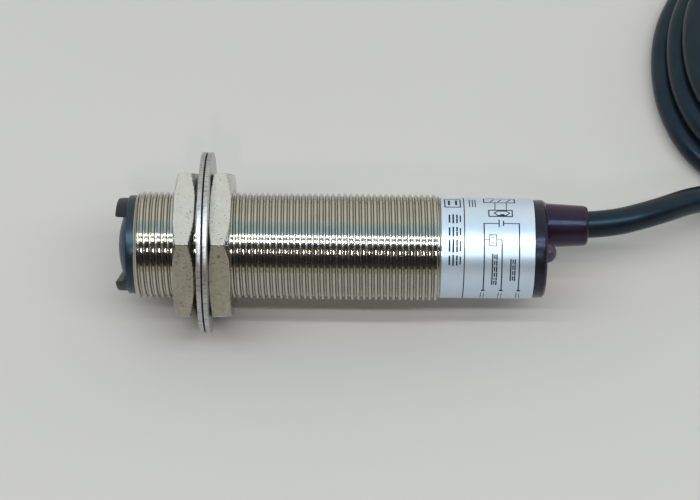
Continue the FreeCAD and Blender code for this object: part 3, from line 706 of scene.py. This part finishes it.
# ------------------------------------------------------------------ rear cap: the solid with its edges and roots rounded
def make_rear_cap():
    src = nodes["rear_cap"]
    me = src.data.copy()
    o = bpy.data.objects.new("rear_cap_moulded", me)
    scene.collection.objects.link(o)
    rm = o.modifiers.new("remesh", "REMESH")
    rm.mode = "VOXEL"
    rm.voxel_size = 0.0001
    sm = o.modifiers.new("smooth", "SMOOTH")
    sm.factor = 0.5
    sm.iterations = 16
    dg = bpy.context.evaluated_depsgraph_get()
    new = bpy.data.meshes.new_from_object(o.evaluated_get(dg))
    o.modifiers.clear()
    o.data = new
    new.materials.clear()
    new.materials.append(SMOKE)
    for p in new.polygons:
        p.use_smooth = True
        p.material_index = 0
    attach(o, "housing")
    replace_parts(o, "rear_cap")
    return o


make_rear_cap()


# ------------------------------------------------------------------ printing on the label
# Generic wiring marks only. A place on the label is (x along the barrel, angle in degrees), with the
# angle from the line that faces the camera, positive towards the top of the picture.
W = Vector((0, -0.5, 0.8660254))
U = Vector((0, 0.8660254, 0.5))


def on_label(x, s, r):
    a = s / 8.5
    return (Vector((x, 0, 0)) + MID + (W * math.cos(a) + U * math.sin(a)) * r) * MM


def make_print():
    bm = bmesh.new()

    def stroke(p, q, width):
        (x0, a0), (x1, a1) = p, q
        p, q = Vector((x0, math.radians(a0) * 8.5)), Vector((x1, math.radians(a1) * 8.5))
        d = q - p
        if d.length < 1e-6:
            return
        u = d.normalized()
        side = Vector((-u.y, u.x)) * width / 2
        p, q = p - u * width / 2, q + u * width / 2
        steps = max(1, int(abs((q - p).y) / 0.3), int((q - p).length / 3))
        rows = []
        for k in range(steps + 1):
            c = p.lerp(q, k / steps)
            row = []
            for sgn, r in ((1, 8.514), (-1, 8.514), (-1, 8.501), (1, 8.501)):
                e = c + side * sgn
                row.append(bm.verts.new(on_label(e.x, e.y, r)))
            rows.append(row)
        for a, b in zip(rows, rows[1:]):
            loop_faces(bm, a, b)
        bm.faces.new(rows[0])
        bm.faces.new(list(reversed(rows[-1])))

    def path(points, width, closed=False):
        pts = points + ([points[0]] if closed else [])
        for p, q in zip(pts, pts[1:]):
            stroke(p, q, width)

    unshaded_side, line, bold = 0.14, 0.2, 0.34
    # the ring line round the whole label
    rows = [(18.6, a) for a in range(-179, 181, 5)]
    path(rows, 0.17)
    # framed block at its top left, with two plain bars in it
    path([(15.4, 53.3), (18.0, 53.3), (18.0, 73), (15.4, 73)], line, True)
    stroke((16.1, 58.5), (16.1, 68), bold)
    stroke((17.3, 58.5), (17.3, 68), bold)
    # four plain blocks of bars down the front column
    for lo, hi in ((29.6, 40.2), (13.6, 23.4), (-4.4, 8.8), (-19.8, -9.0)):
        mid = (lo + hi) / 2
        stroke((16.1, lo + 0.8), (16.1, hi - 0.8), 0.28)
        stroke((16.72, lo), (16.72, hi), 0.28)
        stroke((17.34, lo + 0.4), (17.34, mid - 1.2), 0.28)
        stroke((17.34, mid + 1.2), (17.34, hi - 0.4), 0.28)
        stroke((17.9, lo + 1.4), (17.9, hi - 1.4), 0.22)
    # small block beside the ring line
    for x in (19.55, 20.05, 20.5):
        stroke((x, 54.5), (x, 72.5), 0.17)
    # element box, links and detector box with its six-sided mark
    path([(22.0, 64.4), (27.15, 64.4), (27.15, 78.5), (22.0, 78.5)], line, True)
    for x in (23.1, 24.4, 25.9):
        stroke((x, 67.5), (x + 0.5, 73.5), 0.2)
    stroke((23.85, 64.2), (23.74, 48.4), unshaded_side)
    stroke((25.77, 64.2), (25.64, 48.4), unshaded_side)
    path([(22.7, 38.8), (26.6, 38.8), (26.6, 48.4), (22.7, 48.4)], line, True)
    path([(23.6, 43.6), (24.2, 47.0), (25.6, 47.0), (26.15, 43.7), (25.6, 40.2), (24.2, 40.2)], 0.18, True)
    stroke((24.75, 41.2), (25.15, 41.2), 0.3)
    # supply: the two plates of a cell, and the wires down from it
    stroke((21.85, 29.0), (24.35, 29.0), unshaded_side)
    stroke((24.35, 25.3), (24.35, 33.4), line)
    stroke((25.09, 26.6), (25.09, 32.0), line)
    stroke((25.09, 29.1), (27.7, 29.1), unshaded_side)
    stroke((21.85, 29.0), (21.93, -55.8), line)
    stroke((24.8, 9.5), (24.95, -55.6), line)
    stroke((27.7, 29.1), (27.8, -55.4), line)
    # load box on the middle wire
    path([(22.75, 2.6), (23.9, 2.6), (23.9, 15.1), (22.75, 15.1)], unshaded_side, True)
    stroke((21.85, 9.45), (22.75, 9.45), unshaded_side)
    stroke((23.9, 9.5), (24.8, 9.5), unshaded_side)
    stroke((23.12, 6.4), (23.5, 6.4), unshaded_side)
    stroke((23.12, 11.8), (23.5, 11.8), unshaded_side)
    # wire ends
    for x in (21.92, 24.92, 27.88):
        stroke((x - 0.14, -56.2), (x + 0.14, -56.2), 0.34)
    # short plain blocks beside the wires
    for x, spans in (
        (23.55, ((-45.5, -39.5), (-38, -35.5), (-34, -28.5), (-27, -21), (-19.5, -14), (-12.5, -7))),
        (26.6, ((-39, -33), (-31.5, -26), (-24.5, -19), (-17.5, -12.5))),
    ):
        for lo, hi in spans:
            stroke((x - 0.26, lo), (x - 0.26, hi), 0.22)
            stroke((x + 0.1, lo + 0.8), (x + 0.1, hi - 0.8), 0.2)
            stroke((x + 0.45, lo), (x + 0.45, hi - 0.6), 0.22)
    for x in (21.65, 24.6, 27.6):
        for a in (-62.5, -68.5, -75):
            stroke((x - 0.05, a), (x - 0.05, a - 3.2), 0.15)
            stroke((x + 0.45, a - 0.5), (x + 0.45, a - 3.6), 0.13)
    o = piece("label_print", bm, "housing", INK, 30)
    return o


make_print()

# ------------------------------------------------------------------ the cable: one spline
COIL_X, COIL_Y = 85.3, 45.4
route = [
    (33.0, 3.46, 16.4),
    (42.2, 3.46, 16.4),
    (51.0, 6.6, 15.35),
    (60.0, 11.9, 12.3),
    (70.3, 15.6, 6.9),
    (80.2, 16.5, 2.35),
]
GROW = 1.0153  # a spline point stands this much outside the turn that it shapes


def turn_at(angle):
    """Radius and height of the winding, by total angle. It steps to its next lane between 230 and 280 degrees of each turn."""
    lanes = [(27.6, 2.3), (23.0, 2.3), (18.4, 2.3), (20.7, 6.3), (25.3, 6.3), (23.0, 10.3)]
    # angle where each lane ends, and the line taken to the next one: (part, radius, height)
    steps = [
        [(0.0, 27.6, 2.3), (1.0, 23.0, 2.3)],
        [(0.0, 23.0, 2.3), (1.0, 18.4, 2.3)],
        [(0.0, 18.4, 2.3), (0.2, 17.9, 3.2), (0.4, 18.0, 4.8), (0.6, 18.4, 6.2), (0.8, 19.2, 6.9), (1.0, 20.7, 6.4)],
        [(0.0, 20.7, 6.3), (0.25, 21.8, 6.95), (0.75, 24.2, 6.95), (1.0, 25.3, 6.3)],
        [(0.0, 25.3, 6.3), (0.25, 25.6, 8.2), (0.5, 25.0, 10.8), (0.75, 24.0, 11.4), (1.0, 23.0, 10.5)],
    ]
    k = int((angle - 230.0) // 360.0)  # zones passed, the first one begins at 590
    if k < 1:
        return lanes[0]
    start = 230.0 + 360.0 * k
    part = (angle - start) / 50.0
    if k > len(steps):
        return lanes[-1]
    if part >= 1.0:
        return lanes[k]
    line = steps[k - 1]
    for (p0, r0, z0), (p1, r1, z1) in zip(line, line[1:]):
        if p0 <= part <= p1:
            t = (part - p0) / (p1 - p0)
            return r0 + (r1 - r0) * t, z0 + (z1 - z0) * t
    return lanes[k]


angle = 280.0
while angle < 2391.0:
    r, z = turn_at(angle)
    loose = 1.0
    if angle > 330:
        # the coil lies a little off round, fuller on the diagonals next to the sensor
        turned = angle % 360
        full = 0.058 if 180 < turned < 270 else 0.04 if 90 < turned <= 180 else 0.0
        loose += 0.02 * math.cos(math.radians(angle - 202)) + full * math.sin(math.radians(2 * turned)) ** 2
    a = math.radians(angle)
    g = r * GROW * loose
    route.append((COIL_X + g * math.cos(a), COIL_Y + g * math.sin(a), max(z, 2.3)))
    angle += 20.0
for angle, r, z in (
    (2418, 21.6, 10.5),
    (2444, 19.8, 10.6),
    (2470, 19.2, 10.4),
    (2500, 18.9, 9.9),
    (2535, 17.5, 8.5),
    (2575, 15.8, 6.4),
    (2615, 14.4, 3.5),
    (2652, 13.8, 2.35),
    (2660, 13.6, 2.35),
):
    a = math.radians(angle)
    route.append((COIL_X + r * math.cos(a), COIL_Y + r * math.sin(a), z))

curve = bpy.data.curves.new("cable_line", "CURVE")
curve.dimensions = "3D"
curve.resolution_u = 8
spline = curve.splines.new("NURBS")
spline.points.add(len(route) - 1)
for p, (x, y, z) in zip(spline.points, route):
    p.co = (x * MM, y * MM, z * MM, 1.0)
spline.order_u = 3
spline.use_endpoint_u = True
curve.bevel_depth = 2.3 * MM
curve.bevel_resolution = 8
curve.use_fill_caps = True
curve.materials.append(JACKET)
cable = bpy.data.objects.new("cable", curve)
scene.collection.objects.link(cable)
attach(cable, "housing")
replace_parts(cable, "cable_lead", "cable_coil", "cable_tail")

# ------------------------------------------------------------------ floor, lights, surroundings
bm = bmesh.new()
bmesh.ops.create_grid(bm, x_segments=8, y_segments=8, size=1.6)
me = bpy.data.meshes.new("floor")
bm.to_mesh(me)
bm.free()
floor_s = Shader("floor_pale").set(Specular_IOR_Level=0.25)
floor_s.colour(
    floor_s.blend(floor_s.remap(floor_s.noise(6, 5), 0.35, 0.65, 0, 1), (0.485, 0.457, 0.428), (0.499, 0.471, 0.442))
)
floor_s.rough(floor_s.remap(floor_s.noise(40, 4), 0.3, 0.7, 0.55, 0.65))
floor_s.raise_(floor_s.noise(900, 3), 0.00002)
me.materials.append(floor_s.m)
floor = bpy.data.objects.new("floor", me)
scene.collection.objects.link(floor)


def panel(name, elevation, distance, size_x, size_y, power, colour, side=0.0):
    """A lamp in the plane across the barrel: elevation 0 is the camera's side, 90 overhead, 180 the far side."""
    e = math.radians(elevation)
    light = bpy.data.lights.new(name, "AREA")
    light.shape = "RECTANGLE"
    light.size, light.size_y = size_x, size_y
    light.energy = power
    light.color = colour
    o = bpy.data.objects.new(name, light)
    o.location = Vector((side, -math.cos(e) * distance, math.sin(e) * distance)) + aim
    o.rotation_mode = "QUATERNION"
    o.rotation_quaternion = (aim - o.location).to_track_quat("-Z", "Y")
    scene.collection.objects.link(o)
    return o


panel("tube_high", 80.8, 1.3, 2.4, 0.06, 8.4, (0.95, 0.98, 1.0))
panel("tube_low", 69.8, 1.3, 2.4, 0.06, 10.2, (0.95, 0.98, 1.0))
panel("spot_front", 47.5, 1.3, 0.05, 0.15, 1.5, (1.0, 0.99, 0.97))

world = bpy.data.worlds.new("studio")
scene.world = world
world.use_nodes = True
wt = world.node_tree
bg = wt.nodes["Background"]
tc = wt.nodes.new("ShaderNodeTexCoord")
sep = wt.nodes.new("ShaderNodeSeparateXYZ")
wt.links.new(tc.outputs["Generated"], sep.inputs[0])
neg = wt.nodes.new("ShaderNodeMath")
neg.operation = "MULTIPLY"
neg.inputs[1].default_value = -1.0
wt.links.new(sep.outputs["Y"], neg.inputs[0])
at2 = wt.nodes.new("ShaderNodeMath")
at2.operation = "ARCTAN2"
wt.links.new(sep.outputs["Z"], at2.inputs[0])
wt.links.new(neg.outputs[0], at2.inputs[1])
div = wt.nodes.new("ShaderNodeMath")
div.operation = "DIVIDE"
div.inputs[1].default_value = math.pi
wt.links.new(at2.outputs[0], div.inputs[0])
ramp = wt.nodes.new("ShaderNodeValToRGB")
wt.links.new(div.outputs[0], ramp.inputs[0])
wt.links.new(ramp.outputs[0], bg.inputs[0])
bg.inputs[1].default_value = 1.0
stops = [
    (0.0, (0.41, 0.385, 0.305)),
    (0.06, (0.41, 0.385, 0.305)),
    (0.066, (0.036, 0.034, 0.038)),
    (0.35, (0.034, 0.034, 0.044)),
    (0.375, (0.12, 0.16, 0.185)),
    (0.47, (0.50, 0.68, 0.80)),
    (0.62, (0.60, 0.79, 0.89)),
    (0.645, (0.86, 0.87, 0.83)),
    (1.0, (0.71, 0.70, 0.63)),
]
els = ramp.color_ramp.elements
while len(els) > 1:
    els.remove(els[-1])
els[0].position, els[0].color = stops[0][0], (*stops[0][1], 1)
for pos, c in stops[1:]:
    e = els.new(pos)
    e.color = (*c, 1)
